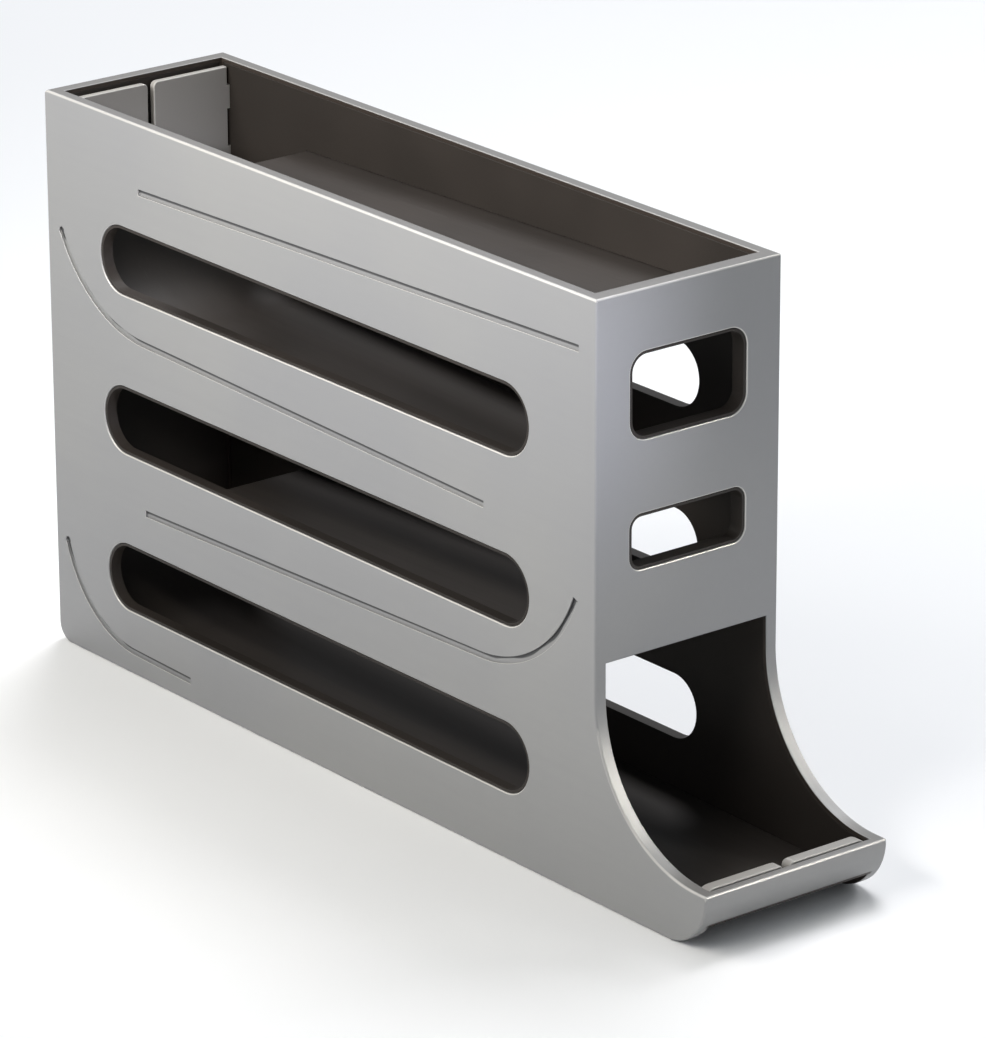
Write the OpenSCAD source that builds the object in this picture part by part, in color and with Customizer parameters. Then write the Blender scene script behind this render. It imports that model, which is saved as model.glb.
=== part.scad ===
// Rolling egg dispenser: a narrow four-tier rack. Round things go in at the open top,
// roll back and forth down four sloped boards and come to rest behind the low front lip.
// The outer panels are light shells, each with a dark liner nested inside its rim.
// All sizes in millimetres. X runs from the back to the lip, Y across, Z up.

/* [Show] */

// Which piece to show

/* [Body] */

// Length of the tall body, from the back face to the front face
body_l = 311.2; // [308:0.2:330]
// Width over both side panels
body_w = 78.6; // [70:0.2:90]
// Height of the top rim
body_h = 210; // [206:0.5:230]
// Height of the front wall's lower edge
front_z = 83.9; // [82:0.1:95]

/* [Walls] */

// Thickness of a side panel with its liner
side_t = 4.7; // [4:0.1:6]
// Thickness of the front and back walls with their liners
end_t = 6.2; // [4.5:0.1:6.6]
// Thickness of the outer skin
skin_t = 1.7; // [1.2:0.1:2.2]
// Thickness of the rim that runs round a panel
rim_w = 1.6; // [1:0.1:1.8]
// Solid strip left beside each mitred corner
corner_land = 0.8; // [0.5:0.1:1.2]
// Edge of a side panel that shows in the front, the back and the lip
edge_w = 0.4; // [0.2:0.1:0.8]

/* [Corners] */

// Radius of the rear lower corner
heel_r = 7; // [4:0.5:12]
// Radius of the rear upper corner
top_r = 3; // [2:0.5:6]
// Radius of the front lower corner, which the lip follows
foot_r = 20; // [19:0.25:20.5]

/* [Mouth and lip] */

// Radius of the scooped edge beside the mouth
scoop_r = 52; // [44:0.5:56]
// Straight stretch of the edge in front of the scoop
lip_flat = 4.8; // [4.4:0.1:7]
// Height of the lip
lip_h = 21; // [20.75:0.25:24]
// Thickness of the lip
lip_t = 3.4; // [2.8:0.1:3.8]
// Height of the lip's lower edge
lip_z = 8; // [7.5:0.25:12]

/* [Side slots] */

// Distance of the slots from the back face
slot_rear = 32.8; // [28:0.2:60]
// Distance of the slots from the front face of the body
slot_front = 34.7; // [30:0.1:60]
// Height of a slot
slot_h = 25.7; // [16:0.1:32]
// Height of the lowest slot's centre line
slot_z = 37; // [34:0.5:42]

/* [Front windows] */

// Width of both windows
window_w = 49.6; // [30:0.2:56]
// Height of the upper window
upper_window_h = 30.4; // [20:0.2:34]
// Height of the upper window's centre over the front end of the upper ramp
upper_window_rise = 48.3; // [40:0.1:55]
// Corner radius of the upper window
upper_window_r = 7; // [4:0.5:9]
// Height of the lower window
lower_window_h = 19.6; // [14:0.2:26]
// Height of the lower window's centre over the front of the lower ramp
lower_window_rise = 52; // [44:0.2:62]
// Corner radius of the lower window
lower_window_r = 5; // [3:0.5:6.5]
// Wall of the liner's collar in each slot and window
collar_w = 1; // [0.8:0.1:1.6]
// How far a collar stays behind the outer face
collar_recess = 0.3; // [0.1:0.1:0.8]

/* [Ramps] */

// Thickness of a ramp
ramp_t = 2.4; // [1.8:0.1:2.6]
// Slope of the three upper ramps in degrees
ramp_slope = 1.5; // [1:0.1:2]
// Width of the rear drop, from the back wall to the ramps' rear ends
rear_drop = 50.8; // [47.8:0.2:54]
// Width of the front drop, from the upper ramp's front end to the front wall
front_drop = 52.5; // [38:0.5:68]
// How far below the rim the top ramp's rear end lies
top_depth = 23.75; // [18:0.25:30]
// How much less the front drop falls than the rear drops
drop_trim = 2; // [0:0.1:4]
// Gap between the top ramp's front end and the front wall
top_gap = 2.6; // [1.8:0.1:20]
// Gap between the upper ramp's curved end and the back wall
upper_gap = 1.4; // [0.8:0.1:3]
// Gap between the lower ramp's curved end and the front wall
lower_gap = 3; // [0.6:0.1:4]
// Gap between the floor ramp's curved end and the back wall
floor_gap = 0.9; // [0.8:0.1:3]
// Radius of the curved ends of the upper and lower ramps
curve_r = 55; // [48:0.25:55.5]
// Angle that the upper ramp's curved end turns through
upper_curve_a = 61; // [40:1:62]
// Angle that the lower ramp's curved end turns through
lower_curve_a = 66; // [40:1:68]
// Depth of the grooves that hold the ramps, cut into the liners
groove_d = 1.5; // [0.8:0.1:1.9]

/* [Floor ramp] */

// Slope of the floor ramp in degrees
floor_slope = 0.9; // [0.7:0.05:0.95]
// Height of the floor ramp at the foot of its rear curve
floor_z = 10; // [9.75:0.25:12]
// Radius of the floor ramp's rear curve
floor_curve_r = 43; // [36:0.25:43.5]
// Angle that the rear curve turns through
floor_curve_a = 68.5; // [50:0.5:69]
// Radius inside the turned-up front end
stop_r = 12.6; // [10:0.1:13.4]
// Space between the front stop and the lip
stop_gap = 1.9; // [1.2:0.1:2.6]
// Thickness of the bead along the front stop
stop_bead = 4.4; // [2.8:0.1:6]
// How far the bead's top stays below the top of the lip
stop_drop = 0.4; // [0:0.1:1]

/* [Rear guide] */

// Gap between the back wall and the rear guide
guide_back = 1.8; // [1.4:0.1:2.8]
// Thickness of the rear guide
guide_t = 2.5; // [1.8:0.1:3.2]
// Gap between the rear guide and the upper ramp's curve below it
guide_rise = 1.8; // [1:0.1:6]
// How far the guide's top stays below the rim
guide_drop = 2.5; // [2:0.5:6]
// Height of the tongues at the sides of the guide
tongue_h = 9; // [5:0.5:14]
// Space between the guide and the liners beside it
guide_gap = 0.7; // [0.3:0.1:1.5]
// Width of the centre slits in the guide and the stop
slit_w = 2.6; // [1.5:0.1:4]
// Height of the rear guide below its slit
guide_uncut = 16; // [6:1:36]
// Depth of the slit in the front stop
stop_slit_d = 9; // [4:0.5:11]
// Size of the cut corners at the mouth of a slit
slit_corner = 2; // [0.5:0.1:2.1]

/* [Traced lines] */

// Depth of the lines that trace the ramps on the side faces
line_d = 0.5; // [0.2:0.1:0.7]
// Distance from the back face to where the lowest line fades out
line_end_x = 82.5; // [70:0.5:120]
// Extra turn of the lowest line past the end of the floor ramp, in degrees
line_extra_a = 4; // [0:0.5:5]
// Radius of the round marks at the rear ends of the lines
dot_r = 1.5; // [1.3:0.1:2.2]

/* [Fits] */

// Clearance round a liner, a collar and the edge of a ramp
fit = 0.15; // [0.1:0.05:0.3]

/* [Hidden] */

$fn = 96;
// overall length over the lip
overall_l = body_l + scoop_r + lip_flat;
// centre of the scoop's arc
scoop_x = body_l + scoop_r;
scoop_z = lip_h + scoop_r;
// inner face of the front wall
front_x = body_l - end_t;
// depth of the space between a wall's skin and its inner face
side_pocket_d = side_t - skin_t;
end_pocket_d = end_t - skin_t;
// the rear ends of the top and lower ramps
drop_x = end_t + rear_drop;
// the upper ramp's curve ends beside the back wall
upper_reach = (curve_r + ramp_t) * sin(upper_curve_a + ramp_slope);
upper_curve_x = end_t + upper_gap + upper_reach - curve_r * sin(ramp_slope);
// lengths and rises of the ramps between their ends
top_ramp_l = (front_x - top_gap - drop_x) / cos(ramp_slope);
upper_ramp_l = (front_x - front_drop - upper_curve_x) / cos(ramp_slope);
upper_rise = upper_ramp_l * sin(ramp_slope);
// the lower ramp's curve ends beside the front wall
lower_reach = (curve_r + ramp_t) * sin(lower_curve_a + ramp_slope);
lower_curve_x = front_x - lower_gap - lower_reach + curve_r * sin(ramp_slope);
lower_ramp_l = (lower_curve_x - drop_x) / cos(ramp_slope);
lower_rise = lower_ramp_l * sin(ramp_slope);
// heights of the ramps, shared out between the rim and the floor ramp
top_ramp_z = body_h - top_depth;
rear_fall = (top_ramp_z - floor_z - upper_rise - lower_rise + drop_trim) / 3;
upper_ramp_z = top_ramp_z - rear_fall;
lower_ramp_z = floor_z + rear_fall;
lower_curve_z = lower_ramp_z + lower_rise;
tier_pitch = (top_ramp_z - lower_ramp_z) / 2;
// slots and windows look at the rows on the ramps
slot_l = body_l - slot_rear - slot_front;
upper_window_z = upper_ramp_z - upper_rise + upper_window_rise;
lower_window_z = lower_curve_z + lower_window_rise;
// the floor ramp's rear curve ends beside the back wall
floor_reach = (floor_curve_r + ramp_t) * sin(floor_curve_a + floor_slope);
floor_x = end_t + floor_gap + floor_reach - floor_curve_r * sin(floor_slope);
// top front edge of the stop, seen from the side
stop_x = overall_l - lip_t - stop_gap;
stop_top = lip_h - stop_drop;
// the same edge along the floor ramp and square to it
stop_along = (stop_x - floor_x) * cos(floor_slope) - (stop_top - floor_z) * sin(floor_slope);
stop_above = (stop_x - floor_x) * sin(floor_slope) + (stop_top - floor_z) * cos(floor_slope);
floor_l = stop_along - ramp_t - stop_r;
stop_h = stop_above - stop_r;
// edge of a ramp inside its groove
ramp_y = side_t - groove_d + fit;
guide_x = end_t + guide_back;
guide_top = body_h - guide_drop;
guide_z = upper_ramp_z + curve_r * (cos(ramp_slope) - cos(upper_curve_a + ramp_slope)) + guide_rise;
guide_y = side_t + guide_gap;
// overlap that keeps cuts clean
cut = 1;
SHELL = [0.70, 0.70, 0.71];
LINER = [0.17, 0.15, 0.14];
BOARD = [0.25, 0.22, 0.20];
TRIM = [0.62, 0.60, 0.58];

// places a piece so that the rack stands centred on the origin
module stand() {
  translate([-overall_l / 2, -body_w / 2, 0])
    children();
}

// draws the same piece on the other side of the rack
module other_side() {
  translate([0, body_w, 0])
    mirror([0, 1, 0])
      children();
}

// gives an outline drawn in X and Z a thickness along Y
module across(y, t) {
  translate([0, y + t, 0])
    rotate([90, 0, 0])
      linear_extrude(t)
        children();
}

// gives an outline drawn in Y and Z a thickness along X
module lengthwise(x, t) {
  translate([x, 0, 0])
    rotate([90, 0, 90])
      linear_extrude(t)
        children();
}

// what a round corner takes off a sharp one; the material lies towards [sx, sz]
module corner_cut(r, sx, sz) {
  difference() {
    translate([sx > 0 ? -cut : -r, sz > 0 ? -cut : -r])
      square(r + cut);
    translate([sx * r, sz * r])
      circle(r);
  }
}

// side view of the rack, drawn in by an inset
module side_outline(inset) {
  difference() {
    union() {
      translate([inset, inset])
        square([body_l - 2 * inset, body_h - 2 * inset]);
      translate([inset, inset])
        square([overall_l - 2 * inset, lip_h - 2 * inset]);
      translate([body_l / 2, inset])
        square([scoop_x - body_l / 2, scoop_z - inset]);
    }
    translate([scoop_x, scoop_z])
      circle(scoop_r + inset);
    translate([scoop_x, lip_h - inset])
      square([scoop_r, scoop_r + cut]);
    translate([body_l - inset, scoop_z])
      square([scoop_r + cut, scoop_r]);
    translate([inset, inset])
      corner_cut(heel_r - inset, 1, 1);
    translate([inset, body_h - inset])
      corner_cut(top_r - inset, 1, -1);
    translate([overall_l - inset, inset])
      corner_cut(foot_r - inset, -1, 1);
  }
}

// side view of the space that a side liner fills
module side_pocket(inset) {
  land = corner_land + inset;
  difference() {
    side_outline(rim_w + inset);
    translate([-cut, -cut])
      square([cut + end_t + land, body_h + 2 * cut]);
    translate([front_x - land, front_z - land])
      square([end_t + land + cut, body_h]);
    translate([overall_l - lip_t - land, -cut])
      square([lip_t + land + cut, lip_h + 2 * cut]);
  }
}

// space that the front liner fills, seen from the front
module front_pocket(inset) {
  side = side_t + corner_land + inset;
  edge = rim_w + inset;
  translate([side, front_z + edge])
    square([body_w - 2 * side, body_h - front_z - 2 * edge]);
}

// space that the back liner fills, seen from behind
module back_pocket(inset) {
  side = side_t + corner_land + inset;
  low = heel_r + inset;
  translate([side, low])
    square([body_w - 2 * side, body_h - rim_w - inset - low]);
}

// the three slots of a side, each drawn in by an inset
module slots(inset) {
  r = slot_h / 2 - inset;
  for (tier = [0:2]) {
    translate([slot_rear + slot_h / 2, slot_z + tier * tier_pitch]) {
      circle(r);
      translate([0, -r])
        square([slot_l - slot_h, 2 * r]);
      translate([slot_l - slot_h, 0])
        circle(r);
    }
  }
}

// a rectangle with round corners about its own centre
module round_window(w, h, r) {
  difference() {
    square([w, h], center = true);
    for (sx = [-1, 1]) {
      for (sz = [-1, 1]) {
        translate([sx * w / 2, sz * h / 2])
          corner_cut(r, -sx, -sz);
      }
    }
  }
}

// both front windows, drawn in by an inset
module windows(inset) {
  translate([body_w / 2, upper_window_z])
    round_window(window_w - 2 * inset, upper_window_h - 2 * inset, upper_window_r - inset);
  translate([body_w / 2, lower_window_z])
    round_window(window_w - 2 * inset, lower_window_h - 2 * inset, lower_window_r - inset);
}

// part of a ring between two angles less than half a turn apart
module arc_band(r, t, a0, a1) {
  reach = 2 * (r + t);
  mid = (a0 + a1) / 2;
  intersection() {
    difference() {
      circle(r + t);
      circle(r);
    }
    polygon([
      [0, 0],
      [reach * cos(a0), reach * sin(a0)],
      [reach * cos(mid), reach * sin(mid)],
      [reach * cos(a1), reach * sin(a1)]
    ]);
  }
}

// side view of the straight top ramp, grown by a clearance
module top_profile(grow) {
  translate([drop_x, top_ramp_z])
    rotate(ramp_slope)
      translate([-grow, -ramp_t - grow])
        square([top_ramp_l + 2 * grow, ramp_t + 2 * grow]);
}

// side view of the upper ramp: a curve up the back wall, then straight to the front
module upper_profile(grow) {
  extra = grow * 180 / (PI * curve_r);
  translate([upper_curve_x, upper_ramp_z])
    rotate(-ramp_slope) {
      translate([0, -ramp_t - grow])
        square([upper_ramp_l + grow, ramp_t + 2 * grow]);
      translate([0, curve_r])
        arc_band(curve_r - grow, ramp_t + 2 * grow, 270 - upper_curve_a - extra, 270);
    }
}

// side view of the lower ramp: straight, then a curve up the front wall
module lower_profile(grow) {
  extra = grow * 180 / (PI * curve_r);
  translate([lower_curve_x, lower_curve_z])
    rotate(ramp_slope) {
      translate([-lower_ramp_l - grow, -ramp_t - grow])
        square([lower_ramp_l + grow, ramp_t + 2 * grow]);
      translate([0, curve_r])
        arc_band(curve_r - grow, ramp_t + 2 * grow, 270, 270 + lower_curve_a + extra);
    }
}

// moves what is drawn along the floor ramp to its place and slope
module floor_frame() {
  translate([floor_x, floor_z])
    rotate(-floor_slope)
      children();
}

// the floor ramp's rear curve and a straight run of a given length
module floor_run(grow, run, turn) {
  translate([0, -ramp_t - grow])
    square([run, ramp_t + 2 * grow]);
  translate([0, floor_curve_r])
    arc_band(floor_curve_r - grow, ramp_t + 2 * grow, 270 - turn, 270);
}

// side view of the whole floor ramp, with the bead along the top of its stop
module floor_profile(grow) {
  extra = grow * 180 / (PI * floor_curve_r);
  floor_frame() {
    floor_run(grow, floor_l, floor_curve_a + extra);
    translate([floor_l, stop_r]) {
      arc_band(stop_r - grow, ramp_t + 2 * grow, 270, 360);
      translate([stop_r - grow, 0])
        square([ramp_t + 2 * grow, stop_h + grow]);
      translate([stop_r + ramp_t - stop_bead - grow, -grow])
        square([stop_bead - ramp_t / 2 + grow, stop_h + 2 * grow]);
    }
  }
}

// side view of the lip, following the front lower corner
module lip_profile() {
  difference() {
    intersection() {
      side_outline(0);
      translate([overall_l - foot_r, lip_z])
        square([foot_r, lip_h - lip_z]);
    }
    translate([overall_l - foot_r, foot_r])
      circle(foot_r - lip_t);
    translate([overall_l - foot_r - cut, foot_r])
      square([foot_r - lip_t + cut, foot_r]);
  }
}

// what the neighbouring wall takes off the end of a side panel, seen from above
module mitre(depth) {
  polygon([
    [-cut, edge_w - cut * (side_t - edge_w) / depth],
    [depth, side_t],
    [depth, side_t + cut],
    [-cut, side_t + cut]
  ]);
}

// the tongues of the rear guide, seen from the front on the left side
module tongues(grow) {
  span = guide_top - guide_z;
  for (z = [guide_z + span / 4, guide_z + span * 3 / 4]) {
    translate([ramp_y - grow, z - tongue_h / 2 - grow])
      square([guide_y - ramp_y + 2 * grow, tongue_h + 2 * grow]);
  }
}

// a slit that opens upwards and widens at its mouth, seen from the front
module slit(top, depth) {
  translate([body_w / 2 - slit_w / 2, top - depth])
    square([slit_w, depth + cut]);
  translate([body_w / 2, top])
    polygon([
      [-slit_w / 2 - slit_corner, cut],
      [-slit_w / 2 - slit_corner, 0],
      [-slit_w / 2, -slit_corner],
      [slit_w / 2, -slit_corner],
      [slit_w / 2 + slit_corner, 0],
      [slit_w / 2 + slit_corner, cut]
    ]);
}

// lines and round marks on a side face
module traced_lines() {
  top_profile(0);
  upper_profile(0);
  lower_profile(0);
  floor_frame()
    floor_run(0, line_end_x - floor_x, floor_curve_a + line_extra_a);
  upper_mark_a = 270 - ramp_slope - upper_curve_a;
  upper_mark_r = curve_r + ramp_t / 2;
  upper_mark_x = upper_curve_x + curve_r * sin(ramp_slope);
  upper_mark_z = upper_ramp_z + curve_r * cos(ramp_slope);
  translate([
    upper_mark_x + upper_mark_r * cos(upper_mark_a),
    upper_mark_z + upper_mark_r * sin(upper_mark_a)
  ])
    circle(dot_r);
  lower_mark_a = 270 - floor_slope - floor_curve_a - line_extra_a;
  lower_mark_r = floor_curve_r + ramp_t / 2;
  lower_mark_x = floor_x + floor_curve_r * sin(floor_slope);
  lower_mark_z = floor_z + floor_curve_r * cos(floor_slope);
  translate([
    lower_mark_x + lower_mark_r * cos(lower_mark_a),
    lower_mark_z + lower_mark_r * sin(lower_mark_a)
  ])
    circle(dot_r);
}

// outer shell of one side, with its rim turned inwards
module side_shell() {
  difference() {
    across(0, side_t)
      side_outline(0);
    across(skin_t, side_t)
      side_pocket(0);
    across(-cut, side_t + cut)
      slots(0);
    across(-cut, line_d + cut)
      traced_lines();
    translate([0, 0, -cut])
      linear_extrude(body_h + 2 * cut)
        mitre(end_t);
    translate([body_l, 0, front_z])
      linear_extrude(body_h)
        mirror([1, 0])
          mitre(end_t);
    translate([overall_l, 0, lip_z])
      linear_extrude(lip_h)
        mirror([1, 0])
          mitre(lip_t);
  }
}

// inner layer of one side, with slot collars, ramp grooves and guide sockets
module side_liner() {
  difference() {
    union() {
      across(skin_t, side_pocket_d)
        side_pocket(fit);
      across(collar_recess, side_t - collar_recess)
        slots(fit);
    }
    across(0, side_t + cut)
      slots(fit + collar_w);
    across(side_t - groove_d, groove_d + cut) {
      top_profile(fit);
      upper_profile(fit);
      lower_profile(fit);
      floor_profile(fit);
    }
    lengthwise(guide_x - fit, guide_t + 2 * fit)
      tongues(fit);
  }
}

module left_side_panel() {
  color(SHELL)
    stand()
      side_shell();
}

module right_side_panel() {
  color(SHELL)
    stand()
      other_side()
        side_shell();
}

module left_liner() {
  color(LINER)
    stand()
      side_liner();
}

module right_liner() {
  color(LINER)
    stand()
      other_side()
        side_liner();
}

module front_panel() {
  color(SHELL)
    stand()
      difference() {
        translate([0, 0, front_z])
          linear_extrude(body_h - front_z)
            polygon([
              [body_l, edge_w],
              [body_l, body_w - edge_w],
              [front_x, body_w - side_t],
              [front_x, side_t]
            ]);
        lengthwise(front_x - cut, end_pocket_d + cut)
          front_pocket(0);
        lengthwise(front_x - cut, end_t + 2 * cut)
          windows(0);
      }
}

module front_liner() {
  color(LINER)
    stand()
      difference() {
        union() {
          lengthwise(front_x, end_pocket_d)
            front_pocket(fit);
          lengthwise(front_x, end_t - collar_recess)
            windows(fit);
        }
        lengthwise(front_x - cut, end_t + 2 * cut)
          windows(fit + collar_w);
      }
}

module back_panel() {
  color(SHELL)
    stand()
      difference() {
        intersection() {
          across(0, body_w)
            side_outline(0);
          linear_extrude(body_h)
            polygon([
              [0, edge_w],
              [end_t, side_t],
              [end_t, body_w - side_t],
              [0, body_w - edge_w]
            ]);
        }
        lengthwise(skin_t, end_t)
          back_pocket(0);
      }
}

module back_liner() {
  color(LINER)
    stand()
      lengthwise(skin_t, end_pocket_d)
        back_pocket(fit);
}

module front_lip() {
  color(SHELL)
    stand()
      intersection() {
        across(0, body_w)
          lip_profile();
        linear_extrude(lip_h)
          polygon([
            [overall_l - foot_r, side_t],
            [overall_l - lip_t, side_t],
            [overall_l, edge_w],
            [overall_l, body_w - edge_w],
            [overall_l - lip_t, body_w - side_t],
            [overall_l - foot_r, body_w - side_t]
          ]);
      }
}

module rear_guide() {
  color(TRIM)
    stand()
      difference() {
        lengthwise(guide_x, guide_t) {
          translate([guide_y, guide_z])
            square([body_w - 2 * guide_y, guide_top - guide_z]);
          tongues(0);
          translate([body_w, 0])
            mirror([1, 0])
              tongues(0);
        }
        lengthwise(guide_x - cut, guide_t + 2 * cut)
          slit(guide_top, guide_top - guide_z - guide_uncut);
      }
}

module top_ramp() {
  color(BOARD)
    stand()
      across(ramp_y, body_w - 2 * ramp_y)
        top_profile(0);
}

module upper_ramp() {
  color(BOARD)
    stand()
      across(ramp_y, body_w - 2 * ramp_y)
        upper_profile(0);
}

module lower_ramp() {
  color(BOARD)
    stand()
      across(ramp_y, body_w - 2 * ramp_y)
        lower_profile(0);
}

module floor_ramp() {
  color(BOARD)
    stand()
      difference() {
        across(ramp_y, body_w - 2 * ramp_y)
          floor_profile(0);
        lengthwise(stop_x - ramp_t - stop_r, ramp_t + stop_r + cut)
          slit(stop_top, stop_slit_d);
      }
}

left_side_panel();
right_side_panel();
front_panel();
back_panel();
front_lip();
left_liner();
right_liner();
front_liner();
back_liner();
rear_guide();
top_ramp();
upper_ramp();
lower_ramp();
floor_ramp();
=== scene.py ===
# %% [markdown]
# A rolling egg dispenser, dressed piece by piece. The rack is narrow and open at the
# top. Inside, four sloped boards lead down to a low lip. Outside are five light shells,
# and four of them hold dark liners in their rims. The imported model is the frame: it
# gives every piece its place and size, and this lesson gives the pieces their rounded
# edges and finishes.

# %% Load the frame
import math

import bmesh
import bpy
from mathutils import Matrix, Vector


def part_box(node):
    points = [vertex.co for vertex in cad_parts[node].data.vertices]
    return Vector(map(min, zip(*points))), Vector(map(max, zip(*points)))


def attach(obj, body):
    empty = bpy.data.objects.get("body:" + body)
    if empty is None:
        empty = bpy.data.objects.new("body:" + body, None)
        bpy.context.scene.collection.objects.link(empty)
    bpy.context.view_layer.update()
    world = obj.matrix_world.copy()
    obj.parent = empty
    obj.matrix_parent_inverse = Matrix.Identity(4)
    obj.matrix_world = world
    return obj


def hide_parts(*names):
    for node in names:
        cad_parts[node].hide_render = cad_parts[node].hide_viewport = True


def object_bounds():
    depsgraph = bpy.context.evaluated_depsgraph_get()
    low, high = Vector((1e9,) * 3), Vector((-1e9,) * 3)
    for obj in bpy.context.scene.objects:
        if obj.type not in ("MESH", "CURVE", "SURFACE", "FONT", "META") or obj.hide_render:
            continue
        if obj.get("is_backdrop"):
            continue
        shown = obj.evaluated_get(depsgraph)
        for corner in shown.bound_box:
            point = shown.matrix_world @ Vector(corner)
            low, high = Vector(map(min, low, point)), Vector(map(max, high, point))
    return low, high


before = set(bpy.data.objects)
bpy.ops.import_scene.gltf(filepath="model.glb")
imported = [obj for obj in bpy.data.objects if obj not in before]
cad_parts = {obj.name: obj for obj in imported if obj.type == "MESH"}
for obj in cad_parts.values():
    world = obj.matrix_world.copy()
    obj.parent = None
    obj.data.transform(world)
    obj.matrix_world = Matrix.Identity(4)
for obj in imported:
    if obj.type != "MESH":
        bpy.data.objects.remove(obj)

cad_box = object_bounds()
print("nodes:", sorted(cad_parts))

# %% [markdown]
# Places come from the frame's boxes, so that a change in the source moves the pieces
# too. Only what a box can't tell, such as a radius, is written down here, in
# millimetres, and turned to metres once.

# %% Sizes
MM = 0.001
SKIN = 1.7 * MM
RIM = 1.6 * MM
LAND = 0.8 * MM
CORNER_EDGE = 0.4 * MM
LIP_T = 3.4 * MM
SCOOP_R = 52 * MM
FOOT_R = 20 * MM
HEEL_R = 7 * MM
TOP_R = 1.8 * MM
CLEAR = 5 * MM

panel_low, panel_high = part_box("left_side_panel")
front_low, front_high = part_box("front_panel")
lip_low, lip_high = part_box("front_lip")
back_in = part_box("back_panel")[1][0]
back_x, lip_x, rim_z = panel_low[0], panel_high[0], panel_high[2]
half_w = -panel_low[1]
inner_y = -panel_high[1]
front_in, front_x, front_z = front_low[0], front_high[0], front_low[2]
lip_in, lip_z, lip_top = lip_x - LIP_T, lip_low[2], lip_high[2]
scoop_x, scoop_z = front_x + SCOOP_R, lip_top + SCOOP_R
print("wall", round((half_w - inner_y) / MM, 2), "mm, lip", round(lip_top / MM, 2), "mm")

# %% [markdown]
# The camera is set by measured values: the lens, and where the camera stood. Three
# directions, to the right, up and back towards the camera, are the columns of its
# rotation.

# %% Camera
CAMERA_PLACE = Vector((1.57830, -1.22870, 0.82525))
LENS = 213.97
TO_THE_RIGHT = Vector((0.62111954, 0.78370838, -0.00341851))
UPWARDS = Vector((-0.26840979, 0.21681934, 0.938587))
camera_data = bpy.data.cameras.new("photo_camera")
camera_data.lens = LENS
camera_data.sensor_width = 36
camera_data.clip_end = 20
camera = bpy.data.objects.new("photo_camera", camera_data)
turn = Matrix((TO_THE_RIGHT, UPWARDS, TO_THE_RIGHT.cross(UPWARDS))).transposed()
camera.matrix_world = Matrix.Translation(CAMERA_PLACE) @ turn.to_4x4()
bpy.context.scene.collection.objects.link(camera)
bpy.context.scene.camera = camera
print("camera looks along", [round(v, 3) for v in -turn.col[2]])

# %% [markdown]
# Shader maths reads best as plain expressions. This class wraps one socket of a node
# tree, so that a + b or 1 - mask adds the Math node for it. The same wrapper serves
# geometry trees.

# %% Node trees as expressions
class Wire:
    """A socket of a node tree that plain numbers and other sockets can be combined with."""

    def __init__(self, tree, socket):
        self.tree = tree
        self.socket = socket

    def math(self, operation, first, second=0.0):
        settings = {"operation": operation}
        return add_node(self.tree, "ShaderNodeMath", settings, {0: first, 1: second})

    def __add__(self, other):
        return self.math("ADD", self, other)

    __radd__ = __add__

    def __mul__(self, other):
        return self.math("MULTIPLY", self, other)

    __rmul__ = __mul__

    def __sub__(self, other):
        return self.math("SUBTRACT", self, other)

    def __rsub__(self, other):
        return self.math("SUBTRACT", other, self)


def add_node(tree, kind, settings=None, values=None, out=0):
    """Adds a node: its settings first, then the values or wires of its sockets."""
    node = tree.nodes.new(kind)
    for name, value in (settings or {}).items():
        setattr(node, name, value)
    for key, value in (values or {}).items():
        if isinstance(key, int):
            socket = node.inputs[key]
        else:
            socket = next(s for s in node.inputs if s.name == key and s.enabled)
        if isinstance(value, Wire):
            tree.links.new(value.socket, socket)
        else:
            socket.default_value = value
    outputs = [s for s in node.outputs if s.enabled]
    found = outputs[out] if isinstance(out, int) else node.outputs[out]
    return Wire(tree, found)


def blend(tree, factor, low, high):
    """One colour where the factor is 0, the other where it is 1."""
    low, high = [(*c, 1) if isinstance(c, tuple) else c for c in (low, high)]
    settings = {"data_type": "RGBA", "clamp_factor": True}
    return add_node(tree, "ShaderNodeMix", settings, {"Factor": factor, "A": low, "B": high})


def fade(tree, value, start, end, low=0.0, high=1.0):
    """A smooth step of a value between two limits."""
    limits = {"Value": value, "From Min": start, "From Max": end, "To Min": low, "To Max": high}
    return add_node(tree, "ShaderNodeMapRange", {"interpolation_type": "SMOOTHSTEP"}, limits)


# %% [markdown]
# Every finish needs noise at some scale. Object coordinates are metres here, so a
# noise with a scale of 1000 has grains about a millimetre wide. A Mapping node
# stretches the grain where the real surface has one direction.

# %% Start a finish
def start_finish(name):
    """A new material with only an output and a Principled shader."""
    material = bpy.data.materials.new(name)
    material.use_nodes = True
    tree = material.node_tree
    tree.nodes.clear()
    shader = tree.nodes.new("ShaderNodeBsdfPrincipled")
    output = tree.nodes.new("ShaderNodeOutputMaterial")
    tree.links.new(shader.outputs[0], output.inputs[0])
    place = add_node(tree, "ShaderNodeTexCoord", out="Object")
    return material, tree, shader, place


def grain(tree, place, scale, stretch=(1, 1, 1), detail=2.0):
    """Noise of a given scale, stretched along an axis by a small number there."""
    moved = add_node(tree, "ShaderNodeMapping", {}, {"Vector": place, "Scale": stretch})
    values = {"Vector": moved, "Scale": scale, "Detail": detail, "Roughness": 0.55}
    return add_node(tree, "ShaderNodeTexNoise", {"noise_dimensions": "3D"}, values)


def plug(tree, shader, **sockets):
    """Sets or links the shader's sockets; Base_Color stands for Base Color."""
    for name, value in sockets.items():
        socket = shader.inputs[name.replace("_", " ")]
        if isinstance(value, Wire):
            tree.links.new(value.socket, socket)
        else:
            socket.default_value = value


def bump(tree, height, strength, distance):
    """Small relief from a height; the distance is in metres."""
    values = {"Height": height, "Strength": strength, "Distance": distance}
    return add_node(tree, "ShaderNodeBump", {}, values)


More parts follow.
